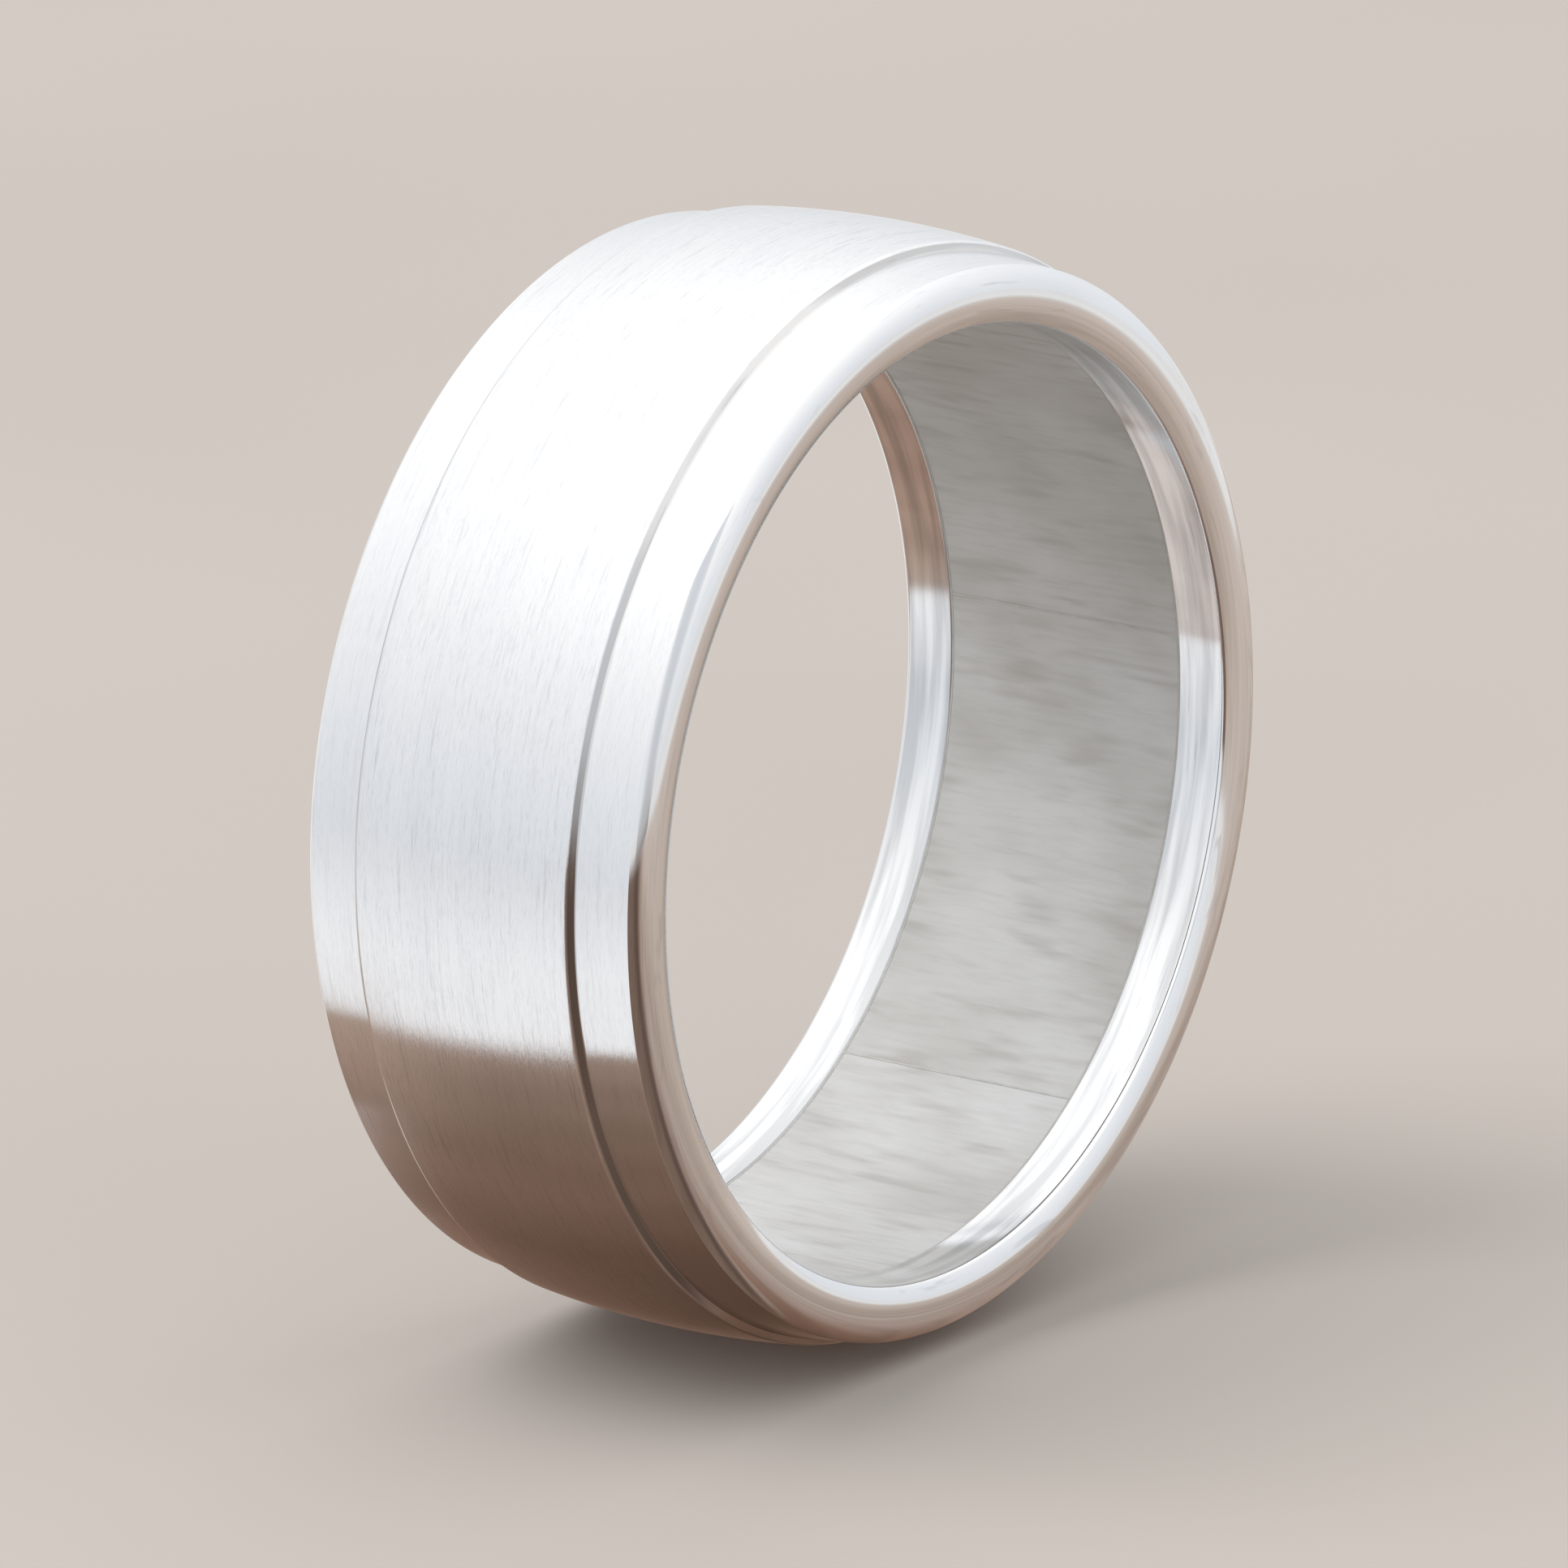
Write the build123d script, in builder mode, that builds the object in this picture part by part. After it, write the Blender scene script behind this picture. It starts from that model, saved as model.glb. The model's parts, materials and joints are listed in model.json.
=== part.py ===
from build123d import *
from math import pi
import os

# Raised-centre wedding band with an antler lining.
# The band stands on its rim. Its axis lies along Y, +Z is up, and the origin is the
# centre of the finger bore. All lengths are in millimetres and all angles in degrees.

os.makedirs("parts", exist_ok=True)

# Driving dimensions: the band
inner_diameter = 18.95  # US ring size 9
wall_at_crown = 1.575  # bore to the top of the raised centre
band_width = 8.0
crown_width = 4.94  # the raised centre
crown_swell = 0.15  # how far the domed centre stands above its own edges
crown_step = 0.17  # height of the sloping step down to each shoulder
step_run = 0.12  # length of the step along the axis
shoulder_fall = 0.11  # how far a shoulder falls from the step to the rim
crest_inset = 0.56  # from a shoulder's edge in to the crest of the domed rim
rim_outer_drop = 0.26  # from the crest back to the shoulder's edge, along the axis
rim_inner_drop = 0.16  # from the crest back to the bore's edge, along the axis
crown_edge_round = 0.12
step_root_round = 0.06
bore_edge_round = 0.12

# Driving dimensions: the lining
lining_width = 5.54
channel_depth = 0.70  # channel turned in the bore for the lining
lining_recess = 0.02  # antler sands a touch lower than the metal rails
glue_thickness = 0.04
stave_count = 6
first_joint_angle = 7.0  # above the horizontal, seen along the axis

# Radii and half widths
bore_radius = inner_diameter / 2
crown_radius = bore_radius + wall_at_crown
crown_edge_radius = crown_radius - crown_swell
step_root_radius = crown_edge_radius - crown_step
shoulder_edge_radius = step_root_radius - shoulder_fall
crest_radius = shoulder_edge_radius - crest_inset
channel_radius = bore_radius + channel_depth
lining_radius = bore_radius + lining_recess
stave_back_radius = channel_radius - glue_thickness

half_band = band_width / 2
half_crown = crown_width / 2
half_shoulder = half_band - rim_outer_drop
half_bore = half_band - rim_inner_drop
half_channel = lining_width / 2
half_stave = half_channel - glue_thickness

# Angles: each stave is an arc, with a thin glue joint after it
stave_pitch = 360 / stave_count
joint_angle = 360 * glue_thickness / (2 * pi * lining_radius)
stave_arc = stave_pitch - joint_angle


def section_plane(angle):
    """Plane through the band's axis: local X is the radius, local Y the axis."""
    return Plane.XY.rotated((0, -angle, 0))


def ring_section(inner_radius, outer_radius, half_width, mode=Mode.ADD):
    """Rectangle between two radii, as wide as twice half_width along the axis."""
    with Locations(((inner_radius + outer_radius) / 2, 0)):
        Rectangle(outer_radius - inner_radius, 2 * half_width, mode=mode)


# Band: one turned piece, with the domed and raised centre, two shoulders, two domed
# rims and the channel for the lining between two rails.
with BuildPart() as band:
    with BuildSketch(Plane.XY) as band_section:
        with BuildLine():
            crown_top = (crown_radius, 0)
            crown_edge = (crown_edge_radius, half_crown)
            step_root = (step_root_radius, half_crown + step_run)
            shoulder_edge = (shoulder_edge_radius, half_shoulder)
            crest = (crest_radius, half_band)
            bore_edge = (bore_radius, half_bore)
            TangentArc(crown_top, crown_edge, tangent=(0, 1))
            Polyline(crown_edge, step_root, shoulder_edge)
            TangentArc(crest, shoulder_edge, tangent=(1, 0))
            TangentArc(crest, bore_edge, tangent=(-1, 0))
            Polyline(
                bore_edge,
                (bore_radius, half_channel),
                (channel_radius, half_channel),
                (channel_radius, 0),
                crown_top,
            )
        make_face()
        rounds = [
            (crown_edge, crown_edge_round),
            (step_root, step_root_round),
            (bore_edge, bore_edge_round),
        ]
        for corner, corner_radius in rounds:
            fillet(band_section.vertices().sort_by_distance(corner)[0], radius=corner_radius)
        mirror(about=Plane.XZ)
    revolve(axis=Axis.Y)
band.part.label = "band"
export_step(band.part, "parts/band.step")

# Staves: arcs of antler side by side round the channel, with the grain across the band.
for number in range(stave_count):
    start_angle = first_joint_angle + number * stave_pitch
    with BuildPart() as stave:
        with BuildSketch(section_plane(start_angle)):
            ring_section(lining_radius, stave_back_radius, half_stave)
        revolve(axis=Axis.Y, revolution_arc=-stave_arc)
    stave.part.label = f"antler_stave_{number + 1}"
    export_step(stave.part, f"parts/antler_stave_{number + 1}.step")

# Glue line: cured adhesive behind the staves, along both rails and in the joints
# between the staves.
with BuildPart() as glue_line:
    with BuildSketch(Plane.XY):
        ring_section(lining_radius, channel_radius, half_channel)
        ring_section(lining_radius, stave_back_radius, half_stave, mode=Mode.SUBTRACT)
    revolve(axis=Axis.Y)
    for number in range(stave_count):
        joint_start = first_joint_angle + number * stave_pitch + stave_arc
        with BuildSketch(section_plane(joint_start)):
            ring_section(lining_radius, channel_radius, half_channel)
        revolve(axis=Axis.Y, revolution_arc=-joint_angle)
glue_line.part.label = "glue_line"
export_step(glue_line.part, "parts/glue_line.step")
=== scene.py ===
"""Raised-centre wedding band with an antler lining, standing on its rim on a plain pale floor."""

import bpy
import json
from math import atan2, cos, degrees, hypot, pi, radians, sin, sqrt
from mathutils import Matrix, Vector, noise


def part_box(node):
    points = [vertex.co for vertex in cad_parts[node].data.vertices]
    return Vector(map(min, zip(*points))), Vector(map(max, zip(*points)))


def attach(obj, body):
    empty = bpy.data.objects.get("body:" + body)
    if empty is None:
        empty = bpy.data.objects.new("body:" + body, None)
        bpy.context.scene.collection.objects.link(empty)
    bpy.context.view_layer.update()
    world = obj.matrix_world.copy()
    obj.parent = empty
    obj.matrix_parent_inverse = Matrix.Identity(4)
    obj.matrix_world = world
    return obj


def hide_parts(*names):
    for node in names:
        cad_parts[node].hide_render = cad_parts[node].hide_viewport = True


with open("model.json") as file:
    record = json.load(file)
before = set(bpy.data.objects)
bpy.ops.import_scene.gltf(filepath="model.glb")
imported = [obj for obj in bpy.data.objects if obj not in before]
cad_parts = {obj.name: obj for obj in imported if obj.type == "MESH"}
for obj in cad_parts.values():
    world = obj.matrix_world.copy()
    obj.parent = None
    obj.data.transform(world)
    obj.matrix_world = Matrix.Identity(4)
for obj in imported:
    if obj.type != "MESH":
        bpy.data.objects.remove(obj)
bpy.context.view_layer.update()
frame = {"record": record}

MM = 0.001

# Sizes, in millimetres, and one angle in degrees. The ones that the frame knows are read from it.
band_low, band_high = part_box("band")
BORE_RADIUS = frame["record"]["mounts"][0]["dims"]["r_mm"]
CROWN_RADIUS = band_high.x / MM
HALF_BAND = band_high.y / MM
HALF_CROWN = 2.47
CROWN_SWELL = 0.15
CROWN_STEP = 0.17
STEP_RUN = 0.12
SHOULDER_FALL = 0.11
CREST_INSET = 0.56
RIM_OUTER_DROP = 0.26
RIM_INNER_DROP = 0.16
HALF_CHANNEL = 2.77
CHANNEL_DEPTH = 0.70
LINING_RECESS = 0.02
GLUE_THICKNESS = 0.04
STAVE_COUNT = 6
FIRST_JOINT_ANGLE = 7.0

# Radii of the rounded edges
CROWN_EDGE_ROUND = 0.12
STEP_ROOT_ROUND = 0.06
SHOULDER_EDGE_ROUND = 0.03
BORE_EDGE_ROUND = 0.12
RAIL_EDGE_ROUND = 0.03
STAVE_EDGE_ROUND = 0.008

# Radii from the band's axis, and half of a stave's width
CROWN_EDGE_RADIUS = CROWN_RADIUS - CROWN_SWELL
STEP_ROOT_RADIUS = CROWN_EDGE_RADIUS - CROWN_STEP
SHOULDER_EDGE_RADIUS = STEP_ROOT_RADIUS - SHOULDER_FALL
CREST_RADIUS = SHOULDER_EDGE_RADIUS - CREST_INSET
CHANNEL_RADIUS = BORE_RADIUS + CHANNEL_DEPTH
LINING_RADIUS = BORE_RADIUS + LINING_RECESS
STAVE_BACK_RADIUS = CHANNEL_RADIUS - GLUE_THICKNESS
HALF_STAVE = HALF_CHANNEL - GLUE_THICKNESS

# Angles round the band's axis, in radians, from one stave to the next and across one glue joint
STAVE_PITCH = 2 * pi / STAVE_COUNT
JOINT_ANGLE = GLUE_THICKNESS / LINING_RADIUS

# How finely the meshes are divided
BAND_SEGMENTS = 360
STAVE_SEGMENTS = 150
STAVE_ROWS = 100
ROUND_STEPS = 6

# The camera stands where the photographer's did. Angles are in degrees and the distance in metres.
VIEW_AZIMUTH = -54.6
VIEW_ELEVATION = 16.01
VIEW_DISTANCE = 0.2854
LENS_MM = 334.7
SENSOR_MM = 36.0
SHIFT_X = -0.0049
SHIFT_Y = -0.006

# Cards that only reflections see. Lengths are in millimetres from the ring's centre, angles in radians.
CARD_LEVEL = -18.0
WARM_CARD_REACH = 420.0
SHADE_DISTANCE = 160.0
SHADE_TOP = 130.0
SHADE_BEARING = radians(-108)
SHADE_HALF_ANGLE = radians(14)


# ---------------------------------------------------------------- sections and meshes


def run(start, end, normal, steps):
    """Straight run of section points, each with its outward normal: (radius, y, normal_r, normal_y)."""
    points = []
    for i in range(steps + 1):
        t = i / steps
        r = start[0] + (end[0] - start[0]) * t
        y = start[1] + (end[1] - start[1]) * t
        points.append((r, y, normal[0], normal[1]))
    return points


def bend(centre, radius, start, end, steps, hollow=False):
    """Arc of section points from one angle to another, in degrees, with normals out of the metal."""
    side = -1 if hollow else 1
    points = []
    for i in range(steps + 1):
        angle = radians(start + (end - start) * i / steps)
        c = cos(angle)
        s = sin(angle)
        points.append((centre[0] + radius * c, centre[1] + radius * s, side * c, side * s))
    return points


def dome_radius(reach, drop):
    """Radius of an arc that leaves its crest level and falls by drop over reach."""
    return (reach**2 + drop**2) / (2 * drop)


def rounding_centre(start, along, outward, centre, radius, rounding):
    """Centre of the round between a straight line and the arc that the line runs out through."""
    r = start[0] - rounding * outward[0] - centre[0]
    y = start[1] - rounding * outward[1] - centre[1]
    half_b = r * along[0] + y * along[1]
    t = sqrt(half_b**2 + (radius - rounding) ** 2 - r**2 - y**2) - half_b
    return (centre[0] + r + t * along[0], centre[1] + y + t * along[1])


def direction(centre, point):
    """Angle in degrees of a point seen from a centre, in the section's plane."""
    return degrees(atan2(point[1] - centre[1], point[0] - centre[0]))


def band_section():
    """Half of the band's section, from the crown's middle round to the channel floor's middle.

    Returns a list of (zone, points), where zone says which finish the run has.
    """
    crown_bend = dome_radius(HALF_CROWN, CROWN_SWELL)
    crown = (CROWN_RADIUS - crown_bend, 0)
    step_length = hypot(CROWN_STEP, STEP_RUN)
    step_out = (STEP_RUN / step_length, CROWN_STEP / step_length)
    step_up = (step_out[1], -step_out[0])
    step_angle = degrees(atan2(step_out[1], step_out[0]))
    root = (STEP_ROOT_RADIUS, HALF_CROWN + STEP_RUN)
    crown_round = rounding_centre(root, step_up, step_out, crown, crown_bend, CROWN_EDGE_ROUND)
    crown_angle = direction(crown, crown_round)
    step_start = (
        crown_round[0] + CROWN_EDGE_ROUND * step_out[0],
        crown_round[1] + CROWN_EDGE_ROUND * step_out[1],
    )

    shoulder_width = HALF_BAND - RIM_OUTER_DROP - root[1]
    slope = atan2(SHOULDER_FALL, shoulder_width)
    shoulder_out = (cos(slope), sin(slope))
    shoulder_along = (-shoulder_out[1], shoulder_out[0])
    root_reach = STEP_ROOT_ROUND / (1 + step_out[0] * shoulder_out[0] + step_out[1] * shoulder_out[1])
    root_round = (
        root[0] + root_reach * (step_out[0] + shoulder_out[0]),
        root[1] + root_reach * (step_out[1] + shoulder_out[1]),
    )
    step_end = (
        root_round[0] - STEP_ROOT_ROUND * step_out[0],
        root_round[1] - STEP_ROOT_ROUND * step_out[1],
    )
    shoulder_start = (
        root_round[0] - STEP_ROOT_ROUND * shoulder_out[0],
        root_round[1] - STEP_ROOT_ROUND * shoulder_out[1],
    )

    outer_bend = dome_radius(CREST_INSET, RIM_OUTER_DROP)
    outer = (CREST_RADIUS, HALF_BAND - outer_bend)
    edge_round = rounding_centre(
        root, shoulder_along, shoulder_out, outer, outer_bend, SHOULDER_EDGE_ROUND
    )
    shoulder_end = (
        edge_round[0] + SHOULDER_EDGE_ROUND * shoulder_out[0],
        edge_round[1] + SHOULDER_EDGE_ROUND * shoulder_out[1],
    )
    edge_angle = direction(outer, edge_round)

    inner_bend = dome_radius(CREST_RADIUS - BORE_RADIUS, RIM_INNER_DROP)
    inner = (CREST_RADIUS, HALF_BAND - inner_bend)
    bore_round = rounding_centre((BORE_RADIUS, 0), (0, 1), (-1, 0), inner, inner_bend, BORE_EDGE_ROUND)
    bore_angle = direction(inner, bore_round)
    rail_round = (BORE_RADIUS + RAIL_EDGE_ROUND, HALF_CHANNEL + RAIL_EDGE_ROUND)
    channel_corner = (CHANNEL_RADIUS, HALF_CHANNEL)
    slope_angle = degrees(slope)
    root_start = 180 + step_angle
    root_end = 180 + slope_angle
    return [
        ("crown", bend(crown, crown_bend, 0, crown_angle, steps=12)),
        ("crown", bend(crown_round, CROWN_EDGE_ROUND, crown_angle, step_angle, steps=8)),
        ("step", run(step_start, step_end, step_out, steps=2)),
        ("step", bend(root_round, STEP_ROOT_ROUND, root_start, root_end, steps=8, hollow=True)),
        ("shoulder", run(shoulder_start, shoulder_end, shoulder_out, steps=6)),
        ("polish", bend(edge_round, SHOULDER_EDGE_ROUND, slope_angle, edge_angle, ROUND_STEPS)),
        ("polish", bend(outer, outer_bend, edge_angle, 90, steps=16)),
        ("polish", bend(inner, inner_bend, 90, bore_angle, steps=10)),
        ("polish", bend(bore_round, BORE_EDGE_ROUND, bore_angle, 180, 2 * ROUND_STEPS)),
        ("rail", run((BORE_RADIUS, bore_round[1]), (BORE_RADIUS, rail_round[1]), (-1, 0), steps=4)),
        ("rail", bend(rail_round, RAIL_EDGE_ROUND, 180, 270, ROUND_STEPS)),
        ("rail", run((rail_round[0], HALF_CHANNEL), channel_corner, (0, -1), steps=2)),
        ("rail", run(channel_corner, (CHANNEL_RADIUS, 0), (-1, 0), steps=2)),
    ]


def whole_section(half):
    """Closed section from its half: the far half, then the near half mirrored back to the start."""
    points = []
    zones = []
    for zone, stretch in half:
        for point in stretch[:-1]:
            points.append(point)
            zones.append(zone)
    for zone, stretch in reversed(half):
        for r, y, normal_r, normal_y in reversed(stretch[1:]):
            points.append((r, -y, normal_r, -normal_y))
            zones.append(zone)
    return points, zones


def new_piece(name, verts, faces, materials, normals=None):
    """Mesh object in metres from vertices in millimetres."""
    mesh = bpy.data.meshes.new(name)
    mesh.from_pydata([Vector(v) * MM for v in verts], [], faces)
    mesh.update()
    for material in materials:
        mesh.materials.append(material)
    mesh.polygons.foreach_set("use_smooth", [True] * len(mesh.polygons))
    if normals:
        mesh.normals_split_custom_set_from_vertices(normals)
    piece = bpy.data.objects.new(name, mesh)
    bpy.context.scene.collection.objects.link(piece)
    return piece


def around(angle, r, y):
    """Point at a radius and an angle round the Y axis."""
    return (r * cos(angle), y, r * sin(angle))


def turned_faces(count):
    """Faces of a full turn round the Y axis, between closed sections of that many points."""
    faces = []
    for segment in range(BAND_SEGMENTS):
        here = segment * count
        there = (segment + 1) % BAND_SEGMENTS * count
        for i in range(count):
            j = (i + 1) % count
            faces.append((here + i, here + j, there + j, there + i))
    return faces


def lathe(name, points, zones, zone_materials):
    """Full turn of a closed section round the Y axis, with the section's own normals."""
    verts = []
    normals = []
    for segment in range(BAND_SEGMENTS):
        angle = 2 * pi * segment / BAND_SEGMENTS
        for r, y, normal_r, normal_y in points:
            verts.append(around(angle, r, y))
            normals.append(around(angle, normal_r, normal_y))
    piece = new_piece(name, verts, turned_faces(len(points)), zone_materials.values(), normals)
    names = list(zone_materials)
    section_slots = [names.index(zone) for zone in zones]
    piece.data.polygons.foreach_set("material_index", section_slots * BAND_SEGMENTS)
    return piece


# ---------------------------------------------------------------- material helpers


def new_material(name):
    """New node material. Returns the material, its node tree and its Principled shader."""
    material = bpy.data.materials.new(name)
    material.use_nodes = True
    tree = material.node_tree
    return material, tree, tree.nodes["Principled BSDF"]


def split_xyz(tree, vector):
    """X, Y and Z of a vector, as three values."""
    node = tree.nodes.new("ShaderNodeSeparateXYZ")
    tree.links.new(vector, node.inputs["Vector"])
    return node.outputs["X"], node.outputs["Y"], node.outputs["Z"]


def attribute_value(tree, name):
    """Value that the piece's mesh holds at each point under that name."""
    node = tree.nodes.new("ShaderNodeAttribute")
    node.attribute_name = name
    return node.outputs["Fac"]


def stretched_noise(tree, per_mm, detail=2.0, roughness=0.5, wander=0.0):
    """Noise over object coordinates, with its own frequency per millimetre along X, Y and Z."""
    coordinates = tree.nodes.new("ShaderNodeTexCoord")
    mapping = tree.nodes.new("ShaderNodeMapping")
    mapping.inputs["Scale"].default_value = [frequency / MM for frequency in per_mm]
    texture = tree.nodes.new("ShaderNodeTexNoise")
    texture.inputs["Scale"].default_value = 1.0
    texture.inputs["Detail"].default_value = detail
    texture.inputs["Roughness"].default_value = roughness
    texture.inputs["Distortion"].default_value = wander
    tree.links.new(coordinates.outputs["Object"], mapping.inputs["Vector"])
    tree.links.new(mapping.outputs["Vector"], texture.inputs["Vector"])
    return texture.outputs["Fac"]


def ramp(tree, value, stops):
    """Colour ramp through (position, colour) stops."""
    node = tree.nodes.new("ShaderNodeValToRGB")
    elements = node.color_ramp.elements
    while len(elements) < len(stops):
        elements.new(0.5)
    for element, (position, colour) in zip(elements, stops):
        element.position = position
        element.color = (*colour, 1.0)
    tree.links.new(value, node.inputs["Fac"])
    return node.outputs["Color"]


def map_range(tree, value, low, high, to_low, to_high):
    """Value moved from one range to another and clamped."""
    node = tree.nodes.new("ShaderNodeMapRange")
    node.inputs["From Min"].default_value = low
    node.inputs["From Max"].default_value = high
    node.inputs["To Min"].default_value = to_low
    node.inputs["To Max"].default_value = to_high
    tree.links.new(value, node.inputs["Value"])
    return node.outputs["Result"]


def combine(tree, operation, first, second):
    """Maths on two values, either of which may be a plain number."""
    node = tree.nodes.new("ShaderNodeMath")
    node.operation = operation
    for socket, value in zip(node.inputs, (first, second)):
        if isinstance(value, (int, float)):
            socket.default_value = value
        else:
            tree.links.new(value, socket)
    return node.outputs["Value"]


def mix_colour(tree, blend_type, amount, first, second):
    """Mix of two colours, either of which may be a plain colour, by a value or a number."""
    node = tree.nodes.new("ShaderNodeMix")
    node.data_type = "RGBA"
    node.blend_type = blend_type
    # The node has several sockets named Factor, A, B and Result. These are the ones for colours.
    sockets = (node.inputs[0], node.inputs[6], node.inputs[7])
    for socket, value in zip(sockets, (amount, first, second)):
        if isinstance(value, (int, float)):
            socket.default_value = value
        elif isinstance(value, tuple):
            socket.default_value = (*value, 1.0)
        else:
            tree.links.new(value, socket)
    return node.outputs[2]


def bump(tree, height, depth_mm, below=None):
    """Relief of that full depth. Another bump's normal may lie below it."""
    node = tree.nodes.new("ShaderNodeBump")
    node.inputs["Distance"].default_value = depth_mm * MM
    tree.links.new(height, node.inputs["Height"])
    if below is not None:
        tree.links.new(below, node.inputs["Normal"])
    return node.outputs["Normal"]


# ---------------------------------------------------------------- materials


# Colours that several materials share
WHITE_METAL = (0.86, 0.865, 0.875)
STEP_METAL = (0.74, 0.73, 0.725)
PURE_WHITE = (1.0, 1.0, 1.0)

# Depths of surface relief, in millimetres
WAVE_DEPTH = 0.002
HAIRLINE_DEPTH = 0.0002
FIBRE_DEPTH = 0.002


def brushed_metal(name, roughness, line_depth, contrast):
    """White metal with fine brush lines round the ring. Their depth is in millimetres."""
    material, tree, shader = new_material(name)
    fine = stretched_noise(tree, per_mm=(4.0, 34.0, 4.0), detail=3.0, roughness=0.7, wander=0.2)
    medium = stretched_noise(tree, per_mm=(0.7, 13.0, 0.7), detail=2.0, roughness=0.6, wander=0.1)
    soft = stretched_noise(tree, per_mm=(0.10, 1.6, 0.10), detail=1.0)
    fine_share = combine(tree, "MULTIPLY", fine, 0.7)
    medium_share = combine(tree, "MULTIPLY", medium, 0.3)
    lines = combine(tree, "ADD", fine_share, medium_share)
    scratches = map_range(tree, medium, 0.30, 0.38, 1.0, 0.0)
    dark = (1.0 - contrast, 1.0 - contrast, 1.0 - 0.9 * contrast)
    streaks = ramp(tree, lines, [(0.36, dark), (0.5, (0.98, 0.98, 0.98)), (0.6, PURE_WHITE)])
    tint = ramp(tree, soft, [(0.3, (0.97, 0.972, 0.98)), (0.7, PURE_WHITE)])
    colour = mix_colour(tree, "MULTIPLY", 1.0, WHITE_METAL, streaks)
    colour = mix_colour(tree, "MULTIPLY", 1.0, colour, tint)
    scratch_shade = combine(tree, "MULTIPLY", scratches, contrast)
    colour = mix_colour(tree, "MULTIPLY", scratch_shade, colour, (0.35, 0.35, 0.36))
    tree.links.new(colour, shader.inputs["Base Color"])
    line_roughness = map_range(tree, lines, 0.3, 0.7, roughness + 0.05, roughness - 0.04)
    tree.links.new(line_roughness, shader.inputs["Roughness"])
    tree.links.new(bump(tree, lines, line_depth), shader.inputs["Normal"])
    shader.inputs["Metallic"].default_value = 1.0
    # The tangent follows the brush lines. A quarter turn from it spreads reflections across them.
    shader.inputs["Anisotropic"].default_value = 0.95
    shader.inputs["Anisotropic Rotation"].default_value = 0.25
    tangent = tree.nodes.new("ShaderNodeTangent")
    tangent.direction_type = "RADIAL"
    tangent.axis = "Y"
    tree.links.new(tangent.outputs["Tangent"], shader.inputs["Tangent"])
    return material


def polished_metal(name, roughness, tone, streak_shade):
    """Hand-polished metal: soft waves from the wheel, with streaks and hairlines round the ring."""
    material, tree, shader = new_material(name)
    waves = stretched_noise(tree, per_mm=(0.45, 0.9, 0.45), detail=1.0)
    hairs = stretched_noise(tree, per_mm=(0.5, 14.0, 0.5), detail=2.0, roughness=0.7, wander=0.6)
    hair_mask = map_range(tree, hairs, 0.62, 0.72, 0.0, 1.0)
    relief = bump(tree, waves, WAVE_DEPTH)
    relief = bump(tree, hairs, HAIRLINE_DEPTH, below=relief)
    tree.links.new(relief, shader.inputs["Normal"])
    worn_roughness = map_range(tree, hair_mask, 0.0, 1.0, roughness, roughness + 0.12)
    tree.links.new(worn_roughness, shader.inputs["Roughness"])
    worn = mix_colour(tree, "MULTIPLY", 1.0, tone, (0.86, 0.86, 0.87))
    streaks = stretched_noise(tree, per_mm=(0.22, 3.4, 0.22), detail=2.0)
    deep = (0.96 * streak_shade, 0.97 * streak_shade, 0.98 * streak_shade)
    tone_shade = ramp(tree, streaks, [(0.40, deep), (0.60, PURE_WHITE)])
    colour = mix_colour(tree, "MIX", hair_mask, tone, worn)
    colour = mix_colour(tree, "MULTIPLY", 1.0, colour, tone_shade)
    tree.links.new(colour, shader.inputs["Base Color"])
    shader.inputs["Metallic"].default_value = 1.0
    return material


def antler():
    """Sanded deer antler: pale grey with soft darker grain marks that run across the band."""
    material, tree, shader = new_material("antler")
    grain = attribute_value(tree, "grain")
    tone = attribute_value(tree, "tone")
    fibres = stretched_noise(tree, per_mm=(9.0, 0.9, 9.0), detail=3.0, roughness=0.6, wander=0.3)
    blotches = stretched_noise(tree, per_mm=(0.45, 0.30, 0.45), detail=2.0)
    tones = [(0.30, (0.42, 0.415, 0.405)), (0.5, (0.48, 0.48, 0.475)), (0.72, (0.53, 0.535, 0.54))]
    body = ramp(tree, blotches, tones)
    grain_amount = combine(tree, "MULTIPLY", grain, 0.38)
    body = mix_colour(tree, "MIX", grain_amount, body, (0.31, 0.29, 0.265))
    fibre_shade = ramp(tree, fibres, [(0.32, (0.93, 0.925, 0.92)), (0.55, PURE_WHITE)])
    body = mix_colour(tree, "MULTIPLY", 1.0, body, fibre_shade)
    tone_shade = ramp(tree, tone, [(0.0, (0.95, 0.945, 0.93)), (1.0, (1.04, 1.04, 1.04))])
    body = mix_colour(tree, "MULTIPLY", 1.0, body, tone_shade)
    tree.links.new(body, shader.inputs["Base Color"])
    tree.links.new(map_range(tree, grain, 0.0, 1.0, 0.42, 0.62), shader.inputs["Roughness"])
    tree.links.new(bump(tree, fibres, FIBRE_DEPTH), shader.inputs["Normal"])
    shader.inputs["Subsurface Weight"].default_value = 0.12
    shader.inputs["Subsurface Radius"].default_value = (0.9, 0.7, 0.5)
    shader.inputs["Subsurface Scale"].default_value = 0.3 * MM
    return material


def cured_glue():
    """Grey adhesive with faint mottling, of which only the sanded edge shows."""
    material, tree, shader = new_material("cured_glue")
    mottle = stretched_noise(tree, per_mm=(3.0, 3.0, 3.0), detail=2.0)
    colour = ramp(tree, mottle, [(0.35, (0.38, 0.37, 0.35)), (0.65, (0.45, 0.44, 0.42))])
    tree.links.new(colour, shader.inputs["Base Color"])
    shader.inputs["Roughness"].default_value = 0.35
    return material


# ---------------------------------------------------------------- the ring's pieces


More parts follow.
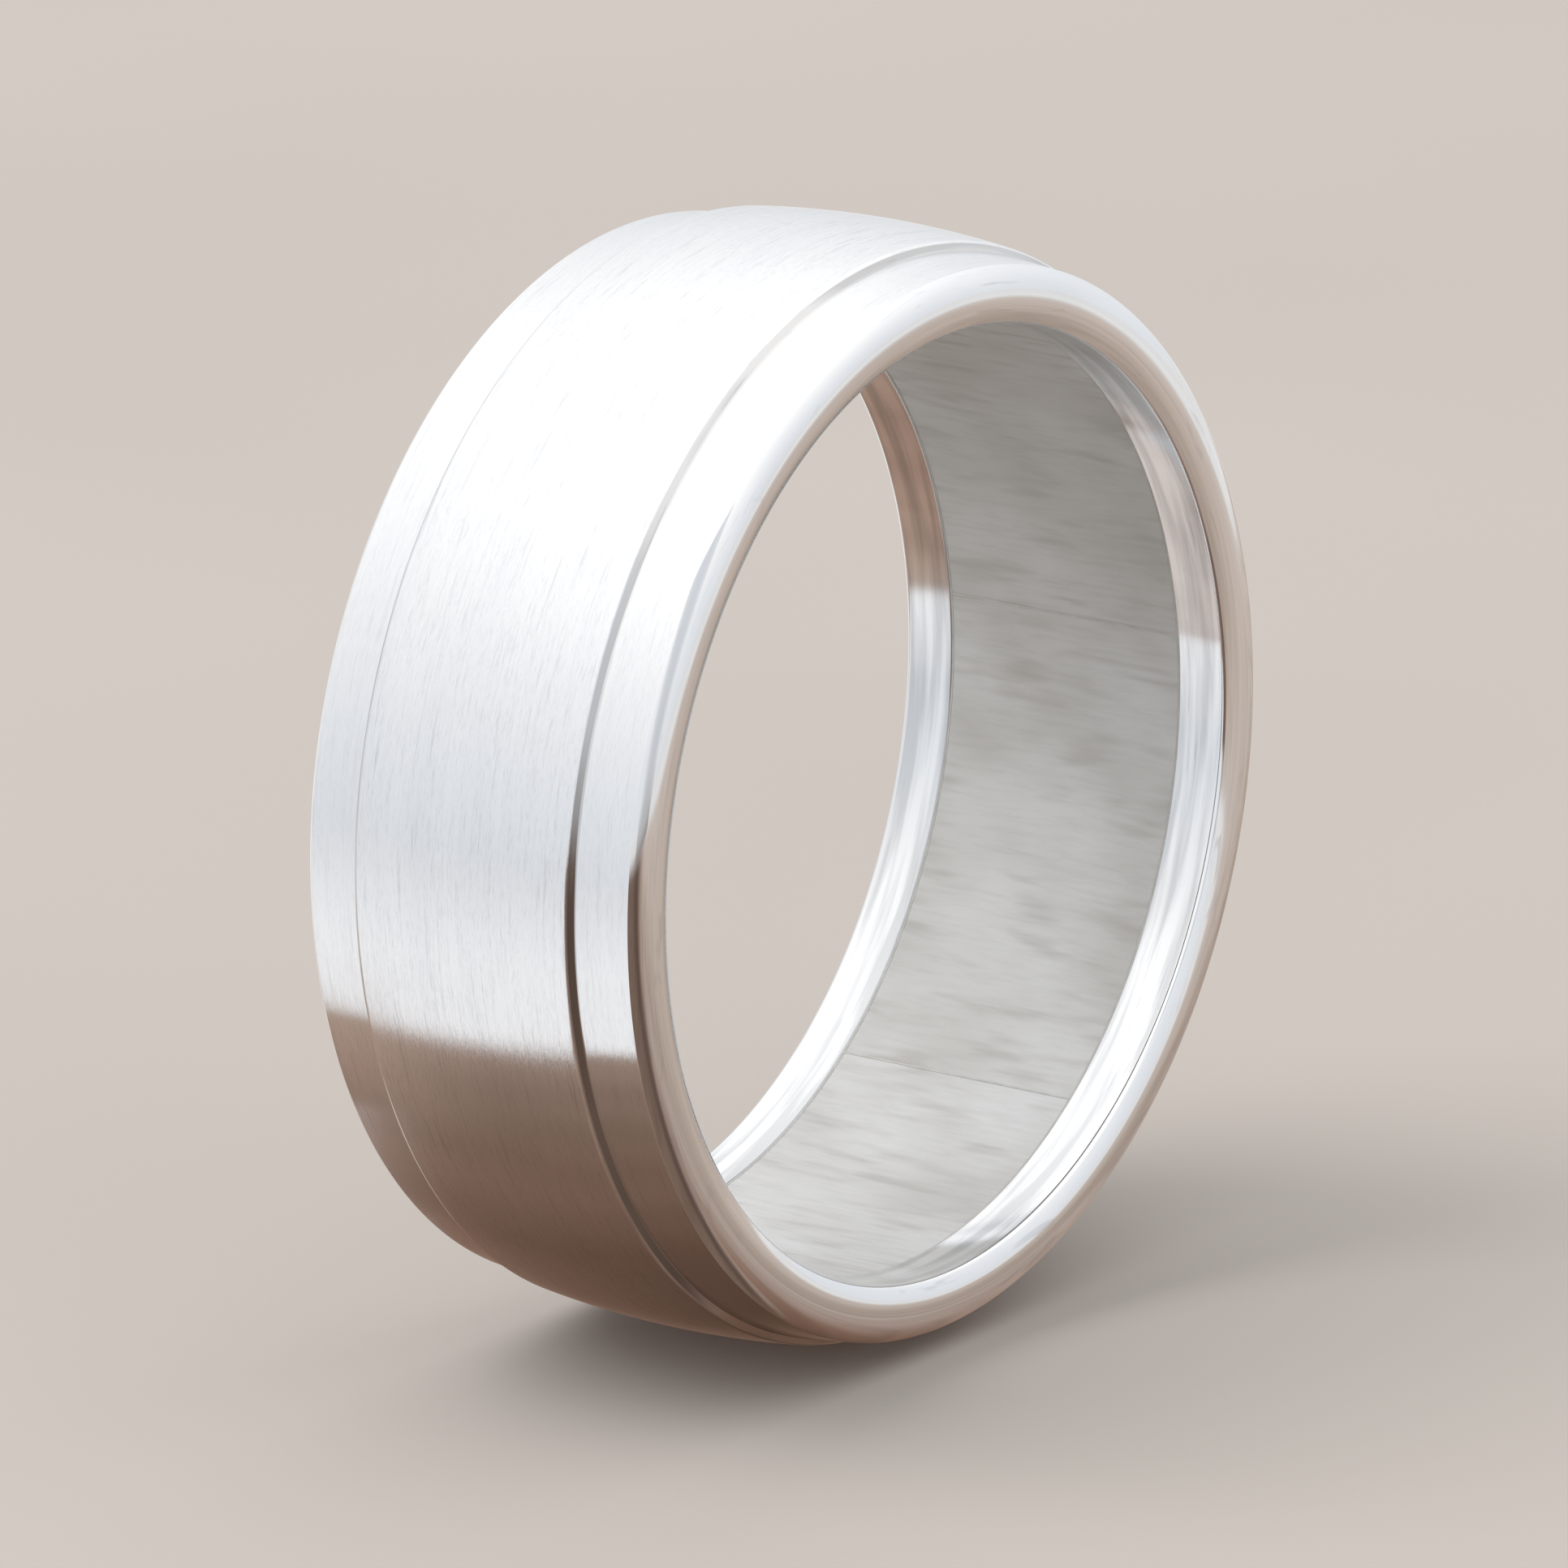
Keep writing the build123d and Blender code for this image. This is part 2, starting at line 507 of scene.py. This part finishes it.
def make_band():
    """The turned metal band, in five finishes."""
    finishes = {
        "crown": brushed_metal("crown_brushed", roughness=0.16, line_depth=0.0034, contrast=0.12),
        "shoulder": brushed_metal("shoulder_brushed", roughness=0.14, line_depth=0.0016, contrast=0.08),
        "step": polished_metal("step_polished", roughness=0.14, tone=STEP_METAL, streak_shade=0.80),
        "polish": polished_metal("rim_polished", roughness=0.07, tone=WHITE_METAL, streak_shade=1.0),
        "rail": polished_metal("rail_polished", roughness=0.11, tone=WHITE_METAL, streak_shade=0.76),
    }
    points, zones = whole_section(band_section())
    piece = lathe("turned_band", points, zones, finishes)
    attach(piece, "root")
    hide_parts("band")


def grain_at(x, y, z, seed):
    """How dark the grain mark is at a point of the lining, 0 to 1. Marks are long across the band."""
    drift = noise.noise(Vector((x * 0.5 + seed, y * 0.35, z * 0.5)))
    mark = noise.noise(Vector((x * 3.2 + 0.5 * drift, y * 0.6 + seed, z * 3.2)))
    thread = noise.noise(Vector((x * 8.0, y * 1.2 - seed, z * 8.0)))
    level = 0.6 * mark + 0.4 * thread + 0.15 * drift
    lowest = 0.05
    span = 0.45
    return min(1.0, max(0.0, (level - lowest) / span))


def make_stave(number, material):
    """One arc of the lining: antler with bevelled edges, whose grain marks are sunk a little."""
    groove_depth = 0.006
    grain_seed = 7.3 * number
    piece_tone = (number * 0.37) % 1.0
    sharp_angle = radians(35)
    start = radians(FIRST_JOINT_ANGLE) + (number - 1) * STAVE_PITCH
    arc_angle = STAVE_PITCH - JOINT_ANGLE
    bevel = STAVE_EDGE_ROUND
    face = []
    for i in range(STAVE_ROWS + 1):
        y = -HALF_STAVE + bevel + 2 * (HALF_STAVE - bevel) * i / STAVE_ROWS
        face.append((LINING_RADIUS, y))
    back = [
        (LINING_RADIUS + bevel, HALF_STAVE),
        (STAVE_BACK_RADIUS, HALF_STAVE),
        (STAVE_BACK_RADIUS, -HALF_STAVE),
        (LINING_RADIUS + bevel, -HALF_STAVE),
    ]
    section = face + back
    count = len(section)
    verts = []
    grains = []
    for segment in range(STAVE_SEGMENTS + 1):
        t = segment / STAVE_SEGMENTS
        angle = start + arc_angle * t
        from_end = min(t, 1 - t) * arc_angle * LINING_RADIUS
        end_drop = max(0.0, bevel - from_end)
        for i, (r, y) in enumerate(section):
            grain = 0.0
            if i < len(face):
                grain = grain_at(*around(angle, r, y), grain_seed)
                r += groove_depth * grain + end_drop
            verts.append(around(angle, r, y))
            grains.append(grain)
    faces = []
    for segment in range(STAVE_SEGMENTS):
        here = segment * count
        there = here + count
        for i in range(count):
            j = (i + 1) % count
            faces.append((here + i, there + i, there + j, here + j))
    last = STAVE_SEGMENTS * count
    faces.append(tuple(range(count)))
    faces.append(tuple(last + i for i in reversed(range(count))))
    piece = new_piece(f"antler_lining_{number}", verts, faces, [material])
    piece.data.set_sharp_from_angle(angle=sharp_angle)
    attribute = piece.data.attributes.new("grain", "FLOAT", "POINT")
    attribute.data.foreach_set("value", grains)
    tone = piece.data.attributes.new("tone", "FLOAT", "POINT")
    tone.data.foreach_set("value", [piece_tone] * len(verts))
    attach(piece, "root")
    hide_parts(f"antler_stave_{number}")


def make_glue(material):
    """The glue behind the staves and along both rails, with a thin rib in each joint."""
    outline = [
        (LINING_RADIUS, -HALF_CHANNEL),
        (CHANNEL_RADIUS, -HALF_CHANNEL),
        (CHANNEL_RADIUS, HALF_CHANNEL),
        (LINING_RADIUS, HALF_CHANNEL),
        (LINING_RADIUS, HALF_STAVE),
        (STAVE_BACK_RADIUS, HALF_STAVE),
        (STAVE_BACK_RADIUS, -HALF_STAVE),
        (LINING_RADIUS, -HALF_STAVE),
    ]
    verts = []
    for segment in range(BAND_SEGMENTS):
        angle = 2 * pi * segment / BAND_SEGMENTS
        verts += [around(angle, r, y) for r, y in outline]
    faces = turned_faces(len(outline))
    rib = [
        (LINING_RADIUS, -HALF_STAVE),
        (STAVE_BACK_RADIUS, -HALF_STAVE),
        (STAVE_BACK_RADIUS, HALF_STAVE),
        (LINING_RADIUS, HALF_STAVE),
    ]
    for number in range(STAVE_COUNT):
        end = radians(FIRST_JOINT_ANGLE) + number * STAVE_PITCH
        first = len(verts)
        second = first + len(rib)
        for angle in (end - JOINT_ANGLE, end):
            verts += [around(angle, r, y) for r, y in rib]
        faces.append(tuple(range(first, second)))
        faces.append(tuple(reversed(range(second, second + len(rib)))))
        for i in range(len(rib)):
            j = (i + 1) % len(rib)
            faces.append((first + j, first + i, second + i, second + j))
    piece = new_piece("lining_glue", verts, faces, [material])
    piece.data.polygons.foreach_set("use_smooth", [False] * len(piece.data.polygons))
    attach(piece, "root")
    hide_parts("glue_line")


# ---------------------------------------------------------------- stage, light and camera


def make_floor():
    """Plain pale floor under the ring. Reflections see the warm reflector instead of it."""
    half_side = 3.0
    z = band_low.z
    corners = [
        (-half_side, -half_side, z),
        (half_side, -half_side, z),
        (half_side, half_side, z),
        (-half_side, half_side, z),
    ]
    mesh = bpy.data.meshes.new("floor")
    mesh.from_pydata(corners, [], [(0, 1, 2, 3)])
    material, tree, shader = new_material("floor_paper")
    mottle = stretched_noise(tree, per_mm=(0.02, 0.02, 0.02), detail=2.0)
    colour = ramp(tree, mottle, [(0.3, (0.375, 0.34, 0.31)), (0.7, (0.40, 0.365, 0.335))])
    tree.links.new(colour, shader.inputs["Base Color"])
    shader.inputs["Roughness"].default_value = 0.9
    mesh.materials.append(material)
    floor = bpy.data.objects.new("floor", mesh)
    bpy.context.scene.collection.objects.link(floor)
    floor.visible_glossy = False


def glowing_card(name, points, colour_maker):
    """Flat card that only reflections see. Its glow isn't sampled as a light."""
    verts = [Vector(point) * MM for point in points]
    mesh = bpy.data.meshes.new(name)
    mesh.from_pydata(verts, [], [tuple(range(len(verts)))])
    material = bpy.data.materials.new(name)
    material.use_nodes = True
    tree = material.node_tree
    tree.nodes.clear()
    emission = tree.nodes.new("ShaderNodeEmission")
    output = tree.nodes.new("ShaderNodeOutputMaterial")
    tree.links.new(colour_maker(tree), emission.inputs["Color"])
    tree.links.new(emission.outputs["Emission"], output.inputs["Surface"])
    material.cycles.emission_sampling = "NONE"
    mesh.materials.append(material)
    card = bpy.data.objects.new(name, mesh)
    bpy.context.scene.collection.objects.link(card)
    card.visible_camera = False
    card.visible_diffuse = False
    card.visible_shadow = False


def distance_along(tree, place, toward_x, toward_y):
    """Dot product of a place with a level direction of about unit length, so a distance in metres."""
    node = tree.nodes.new("ShaderNodeVectorMath")
    node.operation = "DOT_PRODUCT"
    node.inputs[1].default_value = (toward_x, toward_y, 0.0)
    tree.links.new(place, node.inputs[0])
    return node.outputs["Value"]


def left_side_colour(tree, away, y):
    """Dark brown under the ring, where the ring's painted shadow lies, and paler further out. Near the
    ring, both sides of a track are lighter.
    """
    shades = [
        (0.0, (0.07, 0.04, 0.028)),
        (0.08, (0.15, 0.088, 0.062)),
        (0.14, (0.215, 0.135, 0.10)),
        (0.22, (0.27, 0.19, 0.15)),
        (0.32, (0.42, 0.32, 0.26)),
        (0.6, (0.64, 0.55, 0.49)),
        (1.0, (0.72, 0.67, 0.63)),
    ]
    colour = ramp(tree, map_range(tree, away, 0.0, 0.100, 0.0, 1.0), shades)
    from_track = combine(tree, "ABSOLUTE", combine(tree, "SUBTRACT", y, 0.006), 0.0)
    sides = map_range(tree, from_track, 0.005, 0.014, 0.0, 0.55)
    near = map_range(tree, away, 0.022, 0.034, 1.0, 0.0)
    lift = combine(tree, "ADD", combine(tree, "MULTIPLY", sides, near), 1.0)
    lifted = tree.nodes.new("ShaderNodeVectorMath")
    lifted.operation = "SCALE"
    tree.links.new(colour, lifted.inputs[0])
    tree.links.new(lift, lifted.inputs["Scale"])
    return lifted.outputs["Vector"]


def right_side_colour(tree, rightward):
    """Brown near the ring, where the ring's painted shadow lies, tan for a long way, and pale far to the
    right.
    """
    shades = [
        (0.0, (0.15, 0.09, 0.065)),
        (0.05, (0.26, 0.16, 0.12)),
        (0.10, (0.41, 0.31, 0.26)),
        (0.18, (0.46, 0.38, 0.33)),
        (0.27, (0.43, 0.34, 0.29)),
        (0.33, (0.46, 0.38, 0.32)),
        (0.48, (0.57, 0.48, 0.42)),
        (0.70, (0.63, 0.55, 0.50)),
        (0.80, (0.68, 0.62, 0.57)),
        (0.84, (0.80, 0.78, 0.76)),
        (0.95, (0.88, 0.88, 0.88)),
    ]
    return ramp(tree, map_range(tree, rightward, 0.0, 0.120, 0.0, 1.0), shades)


def camera_side_shadow(tree, away, bearing):
    """Where the shadow on the camera's side lies, 0 to 1, and its dark brown colour by bearing."""
    start = map_range(tree, bearing, radians(-162), radians(-150), 0.0, 1.0)
    end = map_range(tree, bearing, radians(-106), radians(-98), 1.0, 0.0)
    beyond_foot = map_range(tree, away, 0.005, 0.008, 0.0, 1.0)
    fading_out = map_range(tree, away, 0.15, 0.25, 1.0, 0.0)
    shadow = combine(tree, "MULTIPLY", start, end)
    shadow = combine(tree, "MULTIPLY", shadow, beyond_foot)
    shadow = combine(tree, "MULTIPLY", shadow, fading_out)
    shades = [
        (0.17, (0.21, 0.145, 0.115)),
        (0.44, (0.19, 0.13, 0.10)),
        (0.53, (0.12, 0.08, 0.063)),
        (0.59, (0.15, 0.10, 0.08)),
        (0.66, (0.36, 0.27, 0.225)),
    ]
    sweep = map_range(tree, bearing, radians(-165), radians(-75), 0.0, 1.0)
    return shadow, ramp(tree, sweep, shades)


def white_behind(tree, place, away, x):
    """Where the card is white, behind the ring and to its right, 0 to 1."""
    backward = distance_along(tree, place, -0.25, 1.0)
    behind = map_range(tree, backward, 0.008, 0.014, 0.0, 1.0)
    outside = map_range(tree, away, 0.029, 0.036, 0.0, 1.0)
    right_half = map_range(tree, x, -0.002, 0.008, 0.0, 1.0)
    return combine(tree, "MULTIPLY", combine(tree, "MULTIPLY", behind, outside), right_half)


def warm_card_colour(tree):
    """Browns of the left and the right, darkest under the ring where its painted shadow lies, the painted
    dark brown shadow on the camera's side, white behind and pale far out.

    Distances here and in the four functions above are in metres, measured level.
    """
    coordinates = tree.nodes.new("ShaderNodeTexCoord")
    flat = tree.nodes.new("ShaderNodeVectorMath")
    flat.operation = "MULTIPLY"
    flat.inputs[1].default_value = (1.0, 1.0, 0.0)
    tree.links.new(coordinates.outputs["Object"], flat.inputs[0])
    place = flat.outputs["Vector"]
    length = tree.nodes.new("ShaderNodeVectorMath")
    length.operation = "LENGTH"
    tree.links.new(place, length.inputs[0])
    away = length.outputs["Value"]
    x, y, _ = split_xyz(tree, place)

    rightward = distance_along(tree, place, 0.77, -0.64)
    right_share = map_range(tree, rightward, 0.002, 0.009, 0.0, 1.0)
    left = left_side_colour(tree, away, y)
    right = right_side_colour(tree, rightward)
    colour = mix_colour(tree, "MIX", right_share, left, right)

    bearing = combine(tree, "ARCTAN2", y, x)
    shadow, dark = camera_side_shadow(tree, away, bearing)
    colour = mix_colour(tree, "MIX", shadow, colour, dark)
    behind = white_behind(tree, place, away, x)
    colour = mix_colour(tree, "MIX", behind, colour, (0.95, 0.95, 0.95))
    far_out = map_range(tree, away, 0.13, 0.23, 0.0, 1.0)
    colour = mix_colour(tree, "MIX", far_out, colour, (0.85, 0.85, 0.86))

    streaks = stretched_noise(tree, per_mm=(0.30, 0.06, 0.06), detail=3.0, roughness=0.6, wander=0.3)
    shade = ramp(tree, streaks, [(0.33, (0.86, 0.84, 0.82)), (0.6, (1.06, 1.05, 1.04))])
    return mix_colour(tree, "MULTIPLY", 1.0, colour, shade)


def make_warm_reflector():
    """Level brown card below the ring. On the left it ends nearby and lets the pale room in."""
    first = -150.0
    last = 93.0
    steps = 48
    outline = []
    for i in range(steps + 1):
        angle = radians(first + (last - first) * i / steps)
        outline.append((WARM_CARD_REACH * cos(angle), WARM_CARD_REACH * sin(angle), CARD_LEVEL))
    left_edge = [
        (-21.9, 28.0),
        (-20.6, 26.3),
        (-20.0, 23.0),
        (-19.9, 19.8),
        (-21.2, 17.5),
        (-22.9, 14.5),
        (-24.1, 11.5),
        (-25.0, 8.4),
        (-27.5, 2.0),
        (-33.0, -10.0),
    ]
    outline += [(x, y, CARD_LEVEL) for x, y in left_edge]
    glowing_card("warm_reflector", outline, warm_card_colour)


def shade_card_colour(tree):
    """Dark at its foot, cool grey higher up, and pale towards both sides."""
    coordinates = tree.nodes.new("ShaderNodeTexCoord")
    x, y, z = split_xyz(tree, coordinates.outputs["Object"])
    height = map_range(tree, z, CARD_LEVEL * MM, SHADE_TOP * MM, 0.0, 1.0)
    shades = [
        (0.0, (0.28, 0.24, 0.22)),
        (0.05, (0.52, 0.51, 0.51)),
        (0.20, (0.64, 0.66, 0.69)),
        (0.5, (0.70, 0.73, 0.77)),
        (1.0, (0.74, 0.78, 0.83)),
    ]
    colour = ramp(tree, height, shades)
    bearing = combine(tree, "ARCTAN2", y, x)
    aside = combine(tree, "ABSOLUTE", combine(tree, "SUBTRACT", bearing, SHADE_BEARING), 0.0)
    edge = map_range(tree, aside, radians(5), radians(13), 0.0, 1.0)
    above_foot = map_range(tree, height, 0.06, 0.16, 0.0, 1.0)
    edge = combine(tree, "MULTIPLY", edge, above_foot)
    return mix_colour(tree, "MIX", edge, colour, (0.84, 0.85, 0.86))


def make_photographer_shade():
    """Upright card on the camera's right. The step and the near rim mirror it as a dark line."""
    half_width = SHADE_DISTANCE * sin(SHADE_HALF_ANGLE)
    middle = (SHADE_DISTANCE * cos(SHADE_BEARING), SHADE_DISTANCE * sin(SHADE_BEARING))
    aside = (-half_width * sin(SHADE_BEARING), half_width * cos(SHADE_BEARING))
    corners = [
        (middle[0] - aside[0], middle[1] - aside[1], CARD_LEVEL),
        (middle[0] + aside[0], middle[1] + aside[1], CARD_LEVEL),
        (middle[0] + aside[0], middle[1] + aside[1], SHADE_TOP),
        (middle[0] - aside[0], middle[1] - aside[1], SHADE_TOP),
    ]
    glowing_card("photographer_shade", corners, shade_card_colour)


def beige_card_colour(tree):
    """Beige with faint mottling."""
    mottle = stretched_noise(tree, per_mm=(0.5, 0.5, 0.5), detail=2.0)
    return ramp(tree, mottle, [(0.3, (0.64, 0.57, 0.53)), (0.7, (0.80, 0.73, 0.69))])


def make_bore_reflector():
    """Small level card behind the ring's foot, which the near rail mirrors through the bore."""
    below_ring = 0.2
    z = -CROWN_RADIUS - below_ring
    corners = [(8.8, 5.8, z), (8.8, 10.6, z), (-9.2, 13.6, z), (-9.4, 9.4, z), (-4.0, 7.2, z)]
    glowing_card("bore_reflector", corners, beige_card_colour)


def make_world():
    """Soft pale room: white overhead, cool grey at eye level and a lighter grey low down."""
    world = bpy.data.worlds.new("studio")
    bpy.context.scene.world = world
    world.use_nodes = True
    tree = world.node_tree
    background = tree.nodes["Background"]
    coordinates = tree.nodes.new("ShaderNodeTexCoord")
    _, _, z = split_xyz(tree, coordinates.outputs["Generated"])
    height = map_range(tree, z, -1.0, 1.0, 0.0, 1.0)
    stops = [
        (0.0, (0.73, 0.73, 0.73)),
        (0.29, (0.73, 0.73, 0.735)),
        (0.43, (0.60, 0.615, 0.635)),
        (0.57, (0.665, 0.68, 0.70)),
        (0.71, (0.77, 0.775, 0.78)),
        (0.82, (0.89, 0.89, 0.89)),
        (0.91, (1.0, 1.0, 1.0)),
    ]
    tree.links.new(ramp(tree, height, stops), background.inputs["Color"])
    background.inputs["Strength"].default_value = 1.35
    world.cycles.sampling_method = "NONE"


def area_light(name, place, target, size, power, colour):
    """Square softbox at a place, aimed at a target. Reflections don't show it."""
    light = bpy.data.lights.new(name, "AREA")
    light.shape = "SQUARE"
    light.size = size
    light.energy = power
    light.color = colour
    lamp = bpy.data.objects.new(name, light)
    lamp.location = place
    lamp.rotation_euler = (Vector(target) - Vector(place)).to_track_quat("-Z", "Y").to_euler()
    bpy.context.scene.collection.objects.link(lamp)
    lamp.visible_camera = False
    lamp.visible_glossy = False


def make_camera():
    """Long lens from the left front, a little above the ring."""
    azimuth = radians(VIEW_AZIMUTH)
    elevation = radians(VIEW_ELEVATION)
    flat = cos(elevation)
    back = Vector((sin(azimuth) * flat, -cos(azimuth) * flat, sin(elevation)))
    lens = bpy.data.cameras.new("camera")
    lens.lens = LENS_MM
    lens.sensor_width = SENSOR_MM
    lens.clip_start = 0.01
    lens.clip_end = 20.0
    lens.shift_x = SHIFT_X
    lens.shift_y = SHIFT_Y
    camera = bpy.data.objects.new("camera", lens)
    camera.location = back * VIEW_DISTANCE
    camera.rotation_euler = back.to_track_quat("Z", "Y").to_euler()
    bpy.context.scene.collection.objects.link(camera)
    bpy.context.scene.camera = camera


make_band()
antler_material = antler()
for stave_number in range(1, STAVE_COUNT + 1):
    make_stave(stave_number, antler_material)
make_glue(cured_glue())
make_floor()
make_warm_reflector()
make_bore_reflector()
make_photographer_shade()
make_world()
area_light(
    "key_softbox",
    place=(-0.25, 0.25, 0.45),
    target=(0, 0, 0),
    size=0.40,
    power=2.0,
    colour=(1.0, 0.99, 0.98),
)
make_camera()
bpy.context.scene.view_settings.view_transform = "Standard"
